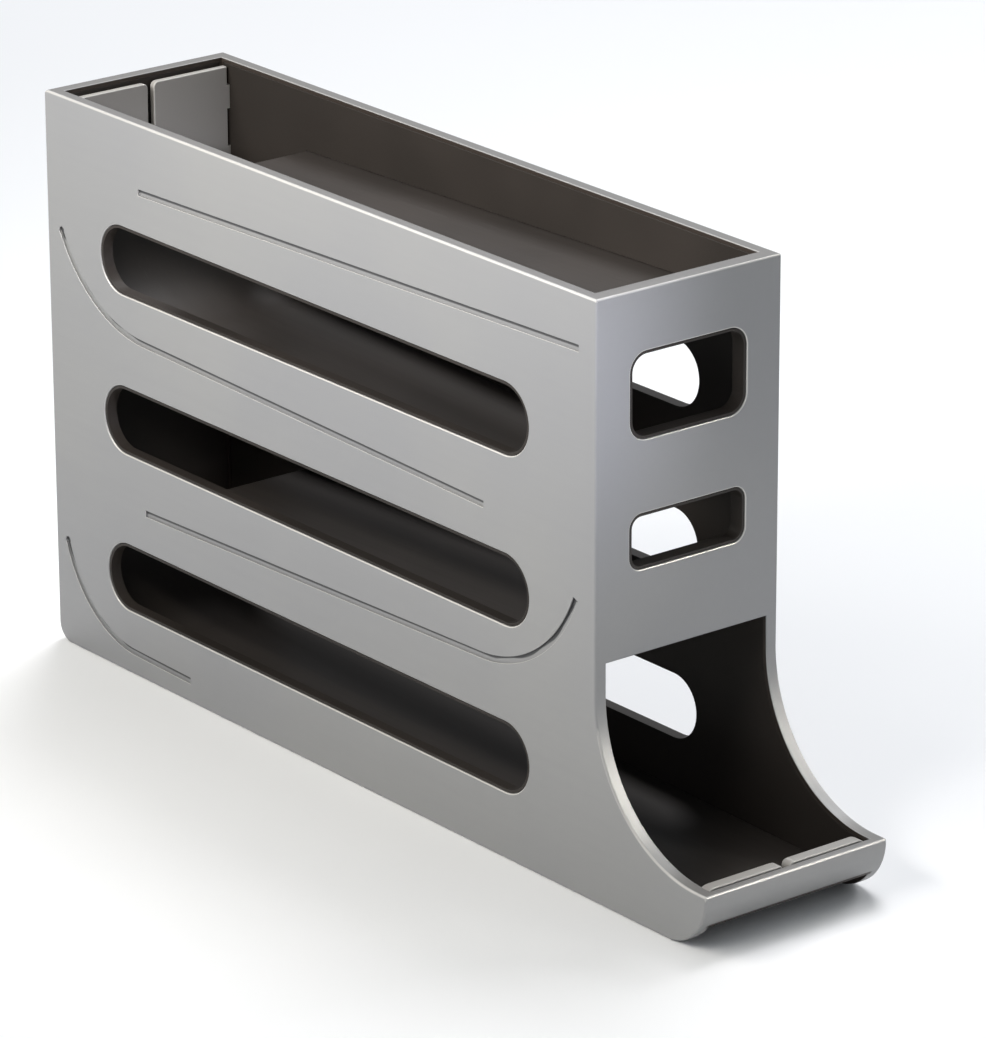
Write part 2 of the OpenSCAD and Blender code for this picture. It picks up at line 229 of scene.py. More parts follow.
def marked(tree, name):
    """A value that was written on the points of the mesh, between 0 and 1."""
    return add_node(tree, "ShaderNodeAttribute", {"attribute_name": name}, out="Fac")


# %% [markdown]
# The shells are silver grey moulded plastic with a satin skin. A slow change of tone
# over the panels and a very fine brushed grain keep them from looking flat. The upward
# faces of the rims are painted darker than the faces: a painted shade. Three attributes
# of the mesh, written when a shell is finished, tell where the tone changes sharply: one
# is high on the rounded edges, which are painted paler as a painted highlight, one on the
# floor of the traced lines, which is painted dark as a painted shadow, and one on the
# inner faces, which have the liners' colour.

# %% Satin silver shell
SILVER = (0.290, 0.290, 0.294)
WARM_SILVER = (0.310, 0.308, 0.304)
BRUSHED_GREY = (0.27, 0.27, 0.278)
# The upward faces of the rims get a painted shade in this darker grey.
RIM_SHADE_GREY = (0.125, 0.117, 0.108)
# The rounded edges are painted in this pale tone: a painted highlight.
EDGE_HIGHLIGHT_TONE = (0.80, 0.77, 0.72)
LINE_SHADE = (0.062, 0.062, 0.064)
INNER_BROWN = (0.040, 0.030, 0.024)
RIM_OUTER = 0.8 * MM
RIM_FADE = 0.2 * MM


def make_shell_finish():
    material, tree, shader, place = start_finish("satin_silver_shell")
    clouds = grain(tree, place, 9.0)
    brushed = grain(tree, place, 420.0, stretch=(0.04, 1, 1), detail=3.0)
    peel = grain(tree, place, 1500.0)
    edge_highlight = marked(tree, "painted_edge_highlight")
    sunk = marked(tree, "painted_line_shadow")
    inside = marked(tree, "inner_face")
    facing = add_node(tree, "ShaderNodeNewGeometry", out="Normal")
    upwards = add_node(tree, "ShaderNodeSeparateXYZ", {}, {0: facing}, out="Z")
    across = add_node(tree, "ShaderNodeSeparateXYZ", {}, {0: place}, out="Y")
    across = add_node(tree, "ShaderNodeMath", {"operation": "ABSOLUTE"}, {0: across})
    rim_side = half_w - RIM_OUTER
    # Painted shade: the upward faces of the rims, short of their outer rounded edge, are darkened.
    rim_shade = fade(tree, upwards, 0.94, 0.995)
    rim_shade = rim_shade * fade(tree, across, rim_side - RIM_FADE, rim_side, 1, 0)
    tone = blend(tree, fade(tree, clouds, 0.35, 0.65), SILVER, WARM_SILVER)
    tone = blend(tree, brushed * 0.16, tone, BRUSHED_GREY)
    tone = blend(tree, rim_shade * 0.62, tone, RIM_SHADE_GREY)
    # Painted highlight: the rounded edges are painted paler, and they are also less rough.
    tone = blend(tree, edge_highlight * 0.9, tone, EDGE_HIGHLIGHT_TONE)
    # Painted shadow: the floor of a traced line is darkened under its upper wall.
    tone = blend(tree, fade(tree, sunk, 0.38, 0.60), tone, LINE_SHADE)
    tone = blend(tree, fade(tree, inside, 0.45, 0.95), tone, INNER_BROWN)
    rough = 0.42 + brushed * 0.10 - edge_highlight * 0.12
    relief = peel * 0.5 + brushed * 0.5
    plug(tree, shader, Base_Color=tone, Roughness=rough, Metallic=0.2)
    plug(tree, shader, Normal=bump(tree, relief, 0.10, 0.00008))
    return material


shell_finish = make_shell_finish()
print("made", shell_finish.name)

# %% [markdown]
# The liners are a dark brown-black plastic, seen in the slot edges and on the inside.
# They are matt, with a fine eroded texture, and pick up a little brown where light
# reaches them. A low specular level keeps the lamps above from greying their walls.
# Their rounded edges are painted paler: a painted highlight.

# %% Dark matt liner
LINER_DARK = (0.021, 0.017, 0.014)
LINER_LIGHT = (0.032, 0.026, 0.022)
LINER_EDGE_HIGHLIGHT = (0.060, 0.056, 0.053)


def make_liner_finish():
    material, tree, shader, place = start_finish("dark_matt_liner")
    clouds = grain(tree, place, 14.0)
    texture = grain(tree, place, 1800.0, detail=4.0)
    tone = blend(tree, fade(tree, clouds, 0.3, 0.7), LINER_DARK, LINER_LIGHT)
    # Painted highlight: the rounded edges are painted paler.
    tone = blend(tree, marked(tree, "painted_edge_highlight") * 0.5, tone, LINER_EDGE_HIGHLIGHT)
    rough = 0.50 + texture * 0.16
    plug(tree, shader, Base_Color=tone, Roughness=rough, Specular_IOR_Level=0.28)
    plug(tree, shader, Normal=bump(tree, texture, 0.15, 0.00006))
    return material


liner_finish = make_liner_finish()
print("made", liner_finish.name)

# %% [markdown]
# The boards are bent from a smooth dark sheet, a shade lighter than the liners and
# glossier, with faint streaks along the way that things roll, and fine hairline
# scratches that catch the light. Their rounded edges are painted paler: a painted
# highlight.

# %% Smooth dark board
BOARD_DARK = (0.040, 0.034, 0.030)
BOARD_LIGHT = (0.050, 0.042, 0.037)
STREAK = (0.030, 0.027, 0.025)
SCRATCH = (0.10, 0.095, 0.09)
BOARD_EDGE_HIGHLIGHT = (0.11, 0.10, 0.095)


def make_board_finish():
    material, tree, shader, place = start_finish("smooth_dark_board")
    clouds = grain(tree, place, 12.0)
    streaks = grain(tree, place, 260.0, stretch=(0.03, 1, 0.3), detail=4.0)
    hairs = grain(tree, place, 900.0, stretch=(0.02, 1, 0.5), detail=5.0)
    scratches = fade(tree, hairs, 0.60, 0.66)
    tone = blend(tree, fade(tree, clouds, 0.3, 0.7), BOARD_DARK, BOARD_LIGHT)
    tone = blend(tree, streaks * 0.25, tone, STREAK)
    tone = blend(tree, scratches * 0.12, tone, SCRATCH)
    # Painted highlight: the rounded edges are painted paler.
    tone = blend(tree, marked(tree, "painted_edge_highlight") * 0.6, tone, BOARD_EDGE_HIGHLIGHT)
    rough = 0.43 + streaks * 0.10 + scratches * 0.06
    plug(tree, shader, Base_Color=tone, Roughness=rough, Specular_IOR_Level=0.27)
    plug(tree, shader, Normal=bump(tree, streaks, 0.08, 0.00008))
    return material


board_finish = make_board_finish()
print("made", board_finish.name)

# %% [markdown]
# Two things inside are light: the plate at the rear and the cap on the stop behind the
# lip. Both are a warm grey satin plastic with a fine leather-like texture, and their
# rounded edges are painted paler: a painted highlight.

# %% Warm grey trim
TRIM_DARK = (0.295, 0.280, 0.262)
TRIM_LIGHT = (0.325, 0.310, 0.290)
TRIM_PORE = (0.25, 0.24, 0.225)
TRIM_EDGE_HIGHLIGHT = (0.50, 0.485, 0.46)


def make_trim_finish():
    material, tree, shader, place = start_finish("warm_grey_trim")
    clouds = grain(tree, place, 16.0)
    texture = grain(tree, place, 1200.0, detail=4.0)
    tone = blend(tree, fade(tree, clouds, 0.3, 0.7), TRIM_DARK, TRIM_LIGHT)
    tone = blend(tree, texture * 0.15, tone, TRIM_PORE)
    # Painted highlight: the rounded edges are painted paler.
    tone = blend(tree, marked(tree, "painted_edge_highlight") * 0.7, tone, TRIM_EDGE_HIGHLIGHT)
    plug(tree, shader, Base_Color=tone, Roughness=0.40 + texture * 0.15)
    plug(tree, shader, Normal=bump(tree, texture, 0.12, 0.00006))
    return material


trim_finish = make_trim_finish()
print("made", trim_finish.name)

# %% [markdown]
# Most pieces start as a slab: an outline in the side view, given a width. Round
# corners are short arcs of points. The slabs are then cut with each other, so a slab
# is always closed and its normals point outwards.

# %% Outlines and slabs
def arc(x, z, radius, start, end, steps=20):
    """Points along an arc, from one angle to another, in degrees."""
    angles = [math.radians(start + (end - start) * i / steps) for i in range(steps + 1)]
    return [(x + radius * math.cos(a), z + radius * math.sin(a)) for a in angles]


def add_object(name, mesh):
    obj = bpy.data.objects.new(name, mesh)
    bpy.context.scene.collection.objects.link(obj)
    return obj


def slab(name, outline, low, high, axis="Y"):
    """A closed prism of an outline, from low to high along an axis."""
    place = {
        "X": lambda u, v, w: (w, u, v),
        "Y": lambda u, v, w: (u, w, v),
        "Z": lambda u, v, w: (u, v, w),
    }[axis]
    shape = bmesh.new()
    rings = [[shape.verts.new(place(u, v, w)) for u, v in outline] for w in (low, high)]
    for ring in rings:
        shape.faces.new(ring)
    count = len(outline)
    for i in range(count):
        j = (i + 1) % count
        shape.faces.new((rings[0][i], rings[0][j], rings[1][j], rings[1][i]))
    bmesh.ops.recalc_face_normals(shape, faces=shape.faces)
    mesh = bpy.data.meshes.new(name)
    shape.to_mesh(mesh)
    shape.free()
    return add_object(name, mesh)


def settle(obj):
    """Turns an object's modifiers into a plain mesh."""
    view = bpy.context.evaluated_depsgraph_get()
    mesh = bpy.data.meshes.new_from_object(obj.evaluated_get(view))
    obj.modifiers.clear()
    obj.data = mesh
    return obj


def cut(obj, cutter, operation="DIFFERENCE", keep=False):
    """Cuts one closed shape with another and drops the cutter."""
    step = obj.modifiers.new("cut", "BOOLEAN")
    step.operation = operation
    step.solver = "MANIFOLD"
    step.object = cutter
    settle(obj)
    if not keep:
        bpy.data.objects.remove(cutter)
    return obj


# %% [markdown]
# A rounded edge is what makes plastic look moulded: each edge catches a thin line of
# light. A Bevel modifier rounds only the edges that have a bevel weight, so a rule
# gives each sharp outward edge its own radius.

# %% Round the edges by a rule
FLAT = math.radians(0.05)
SAME_PLACE = 1e-6


def round_edges(obj, rule, widest, sharpest=30, segments=4):
    """Bevels outward edges; rule(middle) gives an edge's radius in metres."""
    shape = bmesh.new()
    shape.from_mesh(obj.data)
    bmesh.ops.remove_doubles(shape, verts=shape.verts, dist=SAME_PLACE)
    bmesh.ops.dissolve_limit(shape, angle_limit=FLAT, verts=shape.verts, edges=shape.edges)
    layers = shape.edges.layers.float
    weights = layers.get("bevel_weight_edge") or layers.new("bevel_weight_edge")
    count = 0
    for edge in shape.edges:
        edge[weights] = 0.0
        if len(edge.link_faces) == 2 and edge.is_convex:
            if edge.calc_face_angle() > math.radians(sharpest):
                middle = (edge.verts[0].co + edge.verts[1].co) / 2
                edge[weights] = rule(middle) / widest
                count += edge[weights] > 0
    shape.to_mesh(obj.data)
    shape.free()
    step = obj.modifiers.new("round", "BEVEL")
    step.limit_method = "WEIGHT"
    step.width = widest
    step.segments = segments
    step.use_clamp_overlap = False
    step.loop_slide = False
    settle(obj)
    print(obj.name, "rounded edges:", count)
    return obj


def near(a, b, gap=0.05 * MM):
    return abs(a - b) < gap


# %% [markdown]
# The shells meet in mitred corners with no step between them. Rounding each panel on
# its own would leave a groove at every corner, so all five are cut from one blank:
# the side view gives its shape, a second slab hollows it out, and the edges are
# rounded before the blank is sawn into panels.

# %% The blank for the shells
OUTER_ROUND = 0.8 * MM
INNER_ROUND = 0.35 * MM
FRONT_EDGE_ROUND = 0.5 * MM


def side_view(inset=0.0):
    """The rack's outline from the side, drawn in by an inset."""
    corner_x, corner_z = front_x - inset, rim_z - inset
    return (
        arc(back_x + HEEL_R, HEEL_R, HEEL_R - inset, 180, 270)
        + arc(lip_x - FOOT_R, FOOT_R, FOOT_R - inset, 270, 360, 32)
        + [(lip_x - inset, lip_top - inset)]
        + arc(scoop_x, scoop_z, SCOOP_R + inset, 270, 180, 48)
        + [(corner_x, corner_z)]
        + arc(back_x + TOP_R, rim_z - TOP_R, TOP_R - inset, 90, 180)
    )


blank = slab("shell_blank", side_view(), -half_w, half_w)

lip_turn_r = FOOT_R - LIP_T
lip_turn_a = math.degrees(math.asin((FOOT_R - lip_z) / lip_turn_r))
room_view = (
    [(back_in, -CLEAR), (lip_x + CLEAR, -CLEAR), (lip_x + CLEAR, lip_z)]
    + arc(lip_x - FOOT_R, FOOT_R, lip_turn_r, -lip_turn_a, 0, 20)
    + [(lip_in, front_z), (front_in, front_z), (front_in, rim_z + CLEAR), (back_in, rim_z + CLEAR)]
)
cut(blank, slab("room", room_view, -inner_y, inner_y))


def blank_radius(middle):
    if near(abs(middle.y), half_w):
        return OUTER_ROUND
    inside = near(abs(middle.y), inner_y) or near(middle.x, back_in) or near(middle.x, front_in)
    if inside or near(middle.x, lip_in) or near(middle.z, lip_z):
        return INNER_ROUND
    if near(middle.z, front_z):
        return FRONT_EDGE_ROUND
    return OUTER_ROUND


round_edges(blank, blank_radius, OUTER_ROUND)
print("blank:", len(blank.data.polygons), "faces")

# %% [markdown]
# Each side has three long slots with round ends, one above the other, and the front
# has two windows with round corners. Both are a rounded rectangle that is repeated or
# sized by rule, so Geometry Nodes make the cutters: a rounded outline is filled,
# thickened, and placed on the points of a line. The tree ends in Realize Instances,
# because only real faces can cut.

# %% A geometry tree for rounded cutters
def group_input(tree, name, kind="NodeSocketFloat"):
    """Adds a named input to a geometry tree and returns its identifier."""
    return tree.interface.new_socket(name, in_out="INPUT", socket_type=kind).identifier


def start_geometry(name, sizes):
    """A geometry tree with a mesh input, one number input for each size, and a mesh output."""
    tree = bpy.data.node_groups.new(name, "GeometryNodeTree")
    tree.interface.new_socket("Mesh", in_out="OUTPUT", socket_type="NodeSocketGeometry")
    names = {"Mesh": group_input(tree, "Mesh", "NodeSocketGeometry")}
    for size in sizes:
        names[size] = group_input(tree, size)
    source = tree.nodes.new("NodeGroupInput")
    wires = {size: Wire(tree, source.outputs[size]) for size in ["Mesh", *sizes]}
    return tree, names, wires


def end_geometry(tree, result, material):
    """Closes a geometry tree with real faces that carry a material."""
    real = add_node(tree, "GeometryNodeRealizeInstances", {}, {0: result})
    dressed = add_node(tree, "GeometryNodeSetMaterial", {}, {0: real, "Material": material})
    output = tree.nodes.new("NodeGroupOutput")
    tree.links.new(dressed.socket, output.inputs[0])


def combine(tree, x=0.0, y=0.0, z=0.0):
    return add_node(tree, "ShaderNodeCombineXYZ", {}, {0: x, 1: y, 2: z})


def make_opening_tree():
    sizes = ["Length", "Height", "Radius", "Depth", "Pitch", "Count"]
    tree, names, wires = start_geometry("rounded_openings", sizes)
    outline = add_node(
        tree,
        "GeometryNodeCurvePrimitiveQuadrilateral",
        {"mode": "RECTANGLE"},
        {"Width": wires["Length"], "Height": wires["Height"]},
    )
    rounded = add_node(
        tree,
        "GeometryNodeFilletCurve",
        {"mode": "POLY"},
        {"Curve": outline, "Count": 20, "Radius": wires["Radius"], "Limit Radius": True},
    )
    face = add_node(tree, "GeometryNodeFillCurve", {"mode": "NGONS"}, {0: rounded})
    lower = add_node(
        tree,
        "GeometryNodeTransform",
        {},
        {"Geometry": face, "Translation": combine(tree, z=wires["Depth"] * -0.5)},
    )
    upwards = combine(tree, z=1.0)
    values = {"Mesh": lower, "Offset": upwards, "Offset Scale": wires["Depth"], "Individual": False}
    solid = add_node(tree, "GeometryNodeExtrudeMesh", {"mode": "FACES"}, values)
    bottom = add_node(tree, "GeometryNodeFlipFaces", {}, {0: lower})
    closed = tree.nodes.new("GeometryNodeJoinGeometry")
    tree.links.new(solid.socket, closed.inputs[0])
    tree.links.new(bottom.socket, closed.inputs[0])
    values = {"Geometry": Wire(tree, closed.outputs[0]), "Distance": SAME_PLACE}
    merged = add_node(tree, "GeometryNodeMergeByDistance", {}, values)
    upright = add_node(
        tree,
        "GeometryNodeTransform",
        {},
        {"Geometry": merged, "Rotation": (math.radians(90), 0, 0)},
    )
    points = add_node(
        tree,
        "GeometryNodeMeshLine",
        {},
        {"Count": wires["Count"], "Offset": combine(tree, z=wires["Pitch"])},
    )
    row = add_node(
        tree, "GeometryNodeInstanceOnPoints", {}, {"Points": points, "Instance": upright}
    )
    end_geometry(tree, row, shell_finish)
    return tree, names


def grow(name, tree, names, sizes, source=None):
    """Runs a geometry tree on a mesh and keeps the result as a plain mesh."""
    obj = add_object(name, source or bpy.data.meshes.new(name))
    step = obj.modifiers.new("tree", "NODES")
    step.node_group = tree
    for size, value in sizes.items():
        step[names[size]] = value
    return settle(obj)


opening_tree, opening_names = make_opening_tree()


def openings(name, length, height, radius, depth, pitch=0.0, count=1.0):
    sizes = {"Length": length, "Height": height, "Radius": radius}
    sizes.update({"Depth": depth, "Pitch": pitch, "Count": float(count)})
    return grow(name, opening_tree, opening_names, sizes)


# %% [markdown]
# The slots are cut through both sides at once, and the windows through the front.
# Their edges are rounded in a step of their own, because they are softer than the
# outline's. Each step only looks for sharp edges, and those of the outline are
# already round, so it finds just the new ones.

# %% Slots and windows
SLOT_REAR = 32.8 * MM
SLOT_FRONT = 34.7 * MM
SLOT_H = 25.7 * MM
SLOT_Z = 37.0 * MM
TIER_PITCH = 60.114 * MM
WINDOW_W = 49.6 * MM
WINDOWS = (
    ("upper_window", 173.41 * MM, 30.4 * MM, 7 * MM),
    ("lower_window", 123.09 * MM, 19.6 * MM, 5 * MM),
)
SLOT_ROUND = 0.45 * MM


def shift(obj, x=0.0, y=0.0, z=0.0):
    obj.data.transform(Matrix.Translation((x, y, z)))
    return obj


def slot_row(grow_by=0.0):
    """The three slots of a side as one cutter, in place."""
    length = front_x - back_x - SLOT_REAR - SLOT_FRONT + 2 * grow_by
    height = SLOT_H + 2 * grow_by
    row = openings("slots", length, height, height / 2, 2 * half_w + CLEAR, TIER_PITCH, 3)
    return shift(row, x=(back_x + SLOT_REAR + front_x - SLOT_FRONT) / 2, z=SLOT_Z)


def outward_face_rule(radius, flat, outer):
    """A rule that rounds only the edges lying in an outer face."""
    return lambda middle: radius if near(abs(middle[flat]), outer) else 0.0


cut(blank, slot_row())
round_edges(blank, outward_face_rule(SLOT_ROUND, 1, half_w), SLOT_ROUND)
for name, height, tall, radius in WINDOWS:
    window = openings(name, WINDOW_W, tall, radius, 2 * (front_x - front_in))
    window.data.transform(Matrix.Rotation(math.radians(90), 4, "Z"))
    cut(blank, shift(window, x=front_x, z=height))
round_edges(blank, outward_face_rule(SLOT_ROUND, 0, front_x), SLOT_ROUND)
print("blank with openings:", len(blank.data.polygons), "faces")

# %% [markdown]
# The boards are long sheets: the top one is straight, two have a bend at one end, and
# the lowest has a bend at each end. A Geometry Nodes tree makes them all: a line of
# corner points becomes a curve, each corner is rounded by its own bend radius, and a
# flat profile is swept along it. Its ends are filled, so the sheet is closed. The
# normals of the curve point sideways all along it, which keeps the sheet from twisting.

# %% A geometry tree for bent sheets
def make_sheet_tree():
    tree, names, wires = start_geometry("bent_sheet", ["Low Side", "High Side", "Thickness"])
    curve = add_node(tree, "GeometryNodeMeshToCurve", {}, {"Mesh": wires["Mesh"]})
    bends = add_node(
        tree, "GeometryNodeInputNamedAttribute", {"data_type": "FLOAT"}, {"Name": "bend_radius"}
    )
    rounded = add_node(
        tree,
        "GeometryNodeFilletCurve",
        {"mode": "POLY"},
        {"Curve": curve, "Count": 28, "Radius": bends, "Limit Radius": False},
    )
    single = add_node(tree, "GeometryNodeSetCurveNormal", {"mode": "Z_UP"}, {0: rounded})
    profile = add_node(
        tree,
        "GeometryNodeCurvePrimitiveQuadrilateral",
        {"mode": "RECTANGLE"},
        {"Width": wires["High Side"] - wires["Low Side"], "Height": wires["Thickness"]},
    )
    swept = add_node(
        tree,
        "GeometryNodeCurveToMesh",
        {},
        {"Curve": single, "Profile Curve": profile, "Fill Caps": True},
    )
    middle = (wires["High Side"] + wires["Low Side"]) * 0.5
    moved = add_node(
        tree,
        "GeometryNodeTransform",
        {},
        {"Geometry": swept, "Translation": combine(tree, y=middle)},
    )
    values = {"Geometry": moved, "Distance": SAME_PLACE}
    merged = add_node(tree, "GeometryNodeMergeByDistance", {}, values)
    end_geometry(tree, merged, board_finish)
    return tree, names


sheet_tree, sheet_names = make_sheet_tree()


def bent_sheet(name, corners, low, high, thickness):
    """A sheet along corners (x, z, bend radius), from one side to the other."""
    line = bpy.data.meshes.new(name)
    joins = [(i, i + 1) for i in range(len(corners) - 1)]
    line.from_pydata([(x, 0, z) for x, z, _ in corners], joins, [])
    bends = line.attributes.new("bend_radius", "FLOAT", "POINT")
    for i, corner in enumerate(corners):
        bends.data[i].value = corner[2]
    sizes = {"Low Side": low, "High Side": high, "Thickness": thickness}
    sheet = grow(name, sheet_tree, sheet_names, sizes, line)
    shape = bmesh.new()
    shape.from_mesh(sheet.data)
    bmesh.ops.recalc_face_normals(shape, faces=shape.faces)
    shape.to_mesh(sheet.data)
    shape.free()
    return sheet


# %% [markdown]
# Each board's path is read from its node's box. The box gives the two ends; the slope,
# the bend and the sheet's thickness give the rest. The path runs along the middle of
# the sheet, so a bend's radius there is half a thickness more than on its upper face.

# %% The paths of the boards
BOARD_T = 2.4 * MM
SLOPE = math.radians(1.5)
BEND_R = 55 * MM
UPPER_BEND = math.radians(61)
LOWER_BEND = math.radians(66)
FLOOR_SLOPE = math.radians(0.9)
FLOOR_BEND_R = 43 * MM
FLOOR_BEND = math.radians(68.5)
STOP_R = 12.6 * MM
STOP_DROP = 0.4 * MM
STOP_BEAD = 4.4 * MM


def along(point, angle, run):
    """A point moved by a run in a direction, in the side view."""
    return (point[0] + run * math.cos(angle), point[1] + run * math.sin(angle))


def bend_centre(node, radius, bend, slope, side):
    """Centre of the bend at a node's rear (side -1) or front (side 1) end."""
    low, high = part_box(node)
    tip_x = low.x if side < 0 else high.x
    centre_x = tip_x - side * (radius + BOARD_T) * math.sin(bend + slope)
    return (centre_x, high.z + radius * math.cos(bend + slope))


def curved_path(centre, radius, bend, slope, side, far_x):
    """Path of a sheet from the tip of its bend, down its slope, to far_x."""
    middle_r = radius + BOARD_T / 2
    tip = along(centre, math.radians(270) + side * (bend + slope), middle_r)
    start = along(centre, math.radians(270) + side * slope, middle_r)
    heading = (math.pi if side > 0 else 0.0) + side * slope
    corner = along(start, heading, -middle_r * math.tan(bend / 2))
    end = along(start, heading, abs(far_x - start[0]) / math.cos(slope))
    return [(*tip, 0.0), (*corner, middle_r), (*end, 0.0)], start


end_lean = BOARD_T / 2 * math.sin(SLOPE)
upper_centre = bend_centre("upper_ramp", BEND_R, UPPER_BEND, SLOPE, -1)
upper_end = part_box("upper_ramp")[1].x - end_lean
upper_path, _ = curved_path(upper_centre, BEND_R, UPPER_BEND, SLOPE, -1, upper_end)
lower_centre = bend_centre("lower_ramp", BEND_R, LOWER_BEND, SLOPE, 1)
lower_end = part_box("lower_ramp")[0].x + end_lean
lower_path, _ = curved_path(lower_centre, BEND_R, LOWER_BEND, SLOPE, 1, lower_end)
top_low, top_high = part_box("top_ramp")
end_rise = BOARD_T / 2 * math.cos(SLOPE)
top_path = [
    (top_low.x + end_lean, top_low.z + end_rise, 0.0),
    (top_high.x - end_lean, top_high.z - end_rise, 0.0),
]
stop_edge = (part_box("floor_ramp")[1].x, lip_top - STOP_DROP)
stop_tip = along(stop_edge, math.pi - FLOOR_SLOPE, BOARD_T / 2)
floor_centre = bend_centre("floor_ramp", FLOOR_BEND_R, FLOOR_BEND, FLOOR_SLOPE, -1)
floor_path, flat_start = curved_path(
    floor_centre, FLOOR_BEND_R, FLOOR_BEND, FLOOR_SLOPE, -1, stop_tip[0]
)
foot_run = (stop_tip[0] - flat_start[0]) * math.cos(FLOOR_SLOPE)
foot_run -= (stop_tip[1] - flat_start[1]) * math.sin(FLOOR_SLOPE)
stop_foot = along(flat_start, -FLOOR_SLOPE, foot_run)
floor_path[2:] = [(*stop_foot, STOP_R + BOARD_T / 2), (*stop_tip, 0.0)]
for name, path in (("upper", upper_path), ("lower", lower_path), ("floor", floor_path)):
    print(name, [tuple(round(v / MM, 2) for v in corner) for corner in path])

# %% [markdown]
# Shallow lines on both sides trace the boards inside, each with a round mark at its
# rear end if it starts in a bend. The same sheet tree makes the cutters: a narrow sheet
# along a board's path stands half in the side's face. The lowest line ends part of the
# way along.

# %% Traced lines
LINE_D = 0.85 * MM
LINE_END = 82.5 * MM
LINE_EXTRA = math.radians(4)
MARK_R = 1.5 * MM
LINE_ROUND = 0.12 * MM

lowest_bend = FLOOR_BEND + LINE_EXTRA
lowest_path, _ = curved_path(
    floor_centre, FLOOR_BEND_R, lowest_bend, FLOOR_SLOPE, -1, back_x + LINE_END
)
line_cutters = []
line_depths = ((-half_w - CLEAR, -half_w + LINE_D), (half_w - LINE_D, half_w + CLEAR))
for low, high in line_depths:
    for path in (top_path, upper_path, lower_path, lowest_path):
        line_cutters.append(bent_sheet("line", path, low, high, BOARD_T))
    for path in (upper_path, lowest_path):
        mark = arc(path[0][0], path[0][1], MARK_R, 0, 352.5, 47)
        line_cutters.append(slab("mark", mark, low, high))
for cutter in line_cutters:
    cut(blank, cutter)
round_edges(blank, outward_face_rule(LINE_ROUND, 1, half_w), LINE_ROUND, segments=3)
print("blank with lines:", len(blank.data.polygons), "faces")

# %% [markdown]
# Now the blank is sawn into its five shells. A slab with slanted ends takes the back
# wall out along its mitred corners, another the front wall, and a third the lip. What
# is left falls into the two sides.

# %% Saw the blank into shells
KERF = 0.02 * MM


def mitred(name, outer, inner, low, high):
    """A sawing slab, seen from above: wide at the outer face, narrow at the inner."""
    outwards = math.copysign(1, outer - inner)
    edge = half_w - CORNER_EDGE
    far_x = outer + outwards * CLEAR
    far_y = edge + (edge - inner_y) / abs(outer - inner) * CLEAR
    past = inner - outwards * KERF
    near_side = [(past, -inner_y), (inner, -inner_y), (far_x, -far_y)]
    plan = near_side + [(x, -y) for x, y in reversed(near_side)]
    return slab(name, plan, low, high, axis="Z")


def copy_of(obj, name):
    return add_object(name, obj.data.copy())


saws = {
    "back_shell": mitred("back_saw", back_x, back_in, -CLEAR, rim_z + CLEAR),
    "front_shell": mitred("front_saw", front_x, front_in, front_z - KERF, rim_z + CLEAR),
    "lip_shell": mitred("lip_saw", lip_x, lip_in, lip_z - KERF, lip_top + CLEAR),
}
lip_start, lip_end, lip_low_z = lip_x - FOOT_R, lip_in + KERF, lip_z - KERF
lip_room = [(lip_start, -inner_y), (lip_end, -inner_y), (lip_end, inner_y), (lip_start, inner_y)]
cut(saws["lip_shell"], slab("lip_room", lip_room, lip_low_z, lip_top + CLEAR, axis="Z"), "UNION")
shells = {}
for name, saw in saws.items():
    shells[name] = cut(copy_of(blank, name), saw, "INTERSECT", keep=True)
    cut(blank, saw)
far_back, far_front, far_side = back_x - CLEAR, lip_x + CLEAR, -half_w - CLEAR
half = [(far_back, far_side), (far_front, far_side), (far_front, 0), (far_back, 0)]
half_saw = slab("half_saw", half, -CLEAR, rim_z + CLEAR, axis="Z")
shells["left_shell"] = cut(copy_of(blank, "left_shell"), half_saw, "INTERSECT", keep=True)
shells["right_shell"] = cut(copy_of(blank, "right_shell"), half_saw)
bpy.data.objects.remove(blank)
for name, shell in shells.items():
    print(name, len(shell.data.polygons), "faces", [round(v / MM, 2) for v in shell.dimensions])

# %% [markdown]
# Behind its skin each wall but the lip is hollow, with a rim turned inwards, and the
# dark liner fills that hollow. The hollow of a side stops short of the back, the front
# and the lip, so that the mitred corners stay solid.

# %% Hollow the shells for their liners
def block(name, low, high):
    """A closed box, used only as a cutter."""
    plan = [(low[0], low[1]), (high[0], low[1]), (high[0], high[1]), (low[0], high[1])]
    return slab(name, plan, low[2], high[2], axis="Z")


def side_hollow(side):
    low, high = sorted((side * (half_w - SKIN), side * (inner_y - CLEAR)))
    hollow = slab("hollow", side_view(RIM), low, high)
    ends = (
        ((back_x - CLEAR, -CLEAR), (back_in + LAND, rim_z)),
        ((front_in - LAND, front_z - LAND), (front_x, rim_z)),
        ((lip_in - LAND, -CLEAR), (lip_x, lip_top)),
    )
    for start, end in ends:
        cut(hollow, block("end", (start[0], -1, start[1]), (end[0], 1, end[1])))
    return hollow


side = inner_y - LAND
cut(shells["left_shell"], side_hollow(-1))
cut(shells["right_shell"], side_hollow(1))
front_low_corner = (front_in - CLEAR, -side, front_z + RIM)
cut(shells["front_shell"], block("hollow", front_low_corner, (front_x - SKIN, side, rim_z - RIM)))
back_low_corner = (back_x + SKIN, -side, HEEL_R)
cut(shells["back_shell"], block("hollow", back_low_corner, (back_in + CLEAR, side, rim_z - RIM)))

# %% [markdown]
# Smooth shading with weighted normals keeps the large faces flat and lets the rounded
# edges blend into them, so a highlight runs cleanly along each edge. The finishes read
# their marks from attributes of the points; the points of the rounded edges are marked
# for a painted highlight. A rounded edge is a row of narrow strips that turn from one to
# the next, and that is how its points are found.

# %% Smooth and place a finished piece
NARROW = 0.09 * MM
BROAD = 0.5 * MM
STRIP_TURN = math.radians(15)


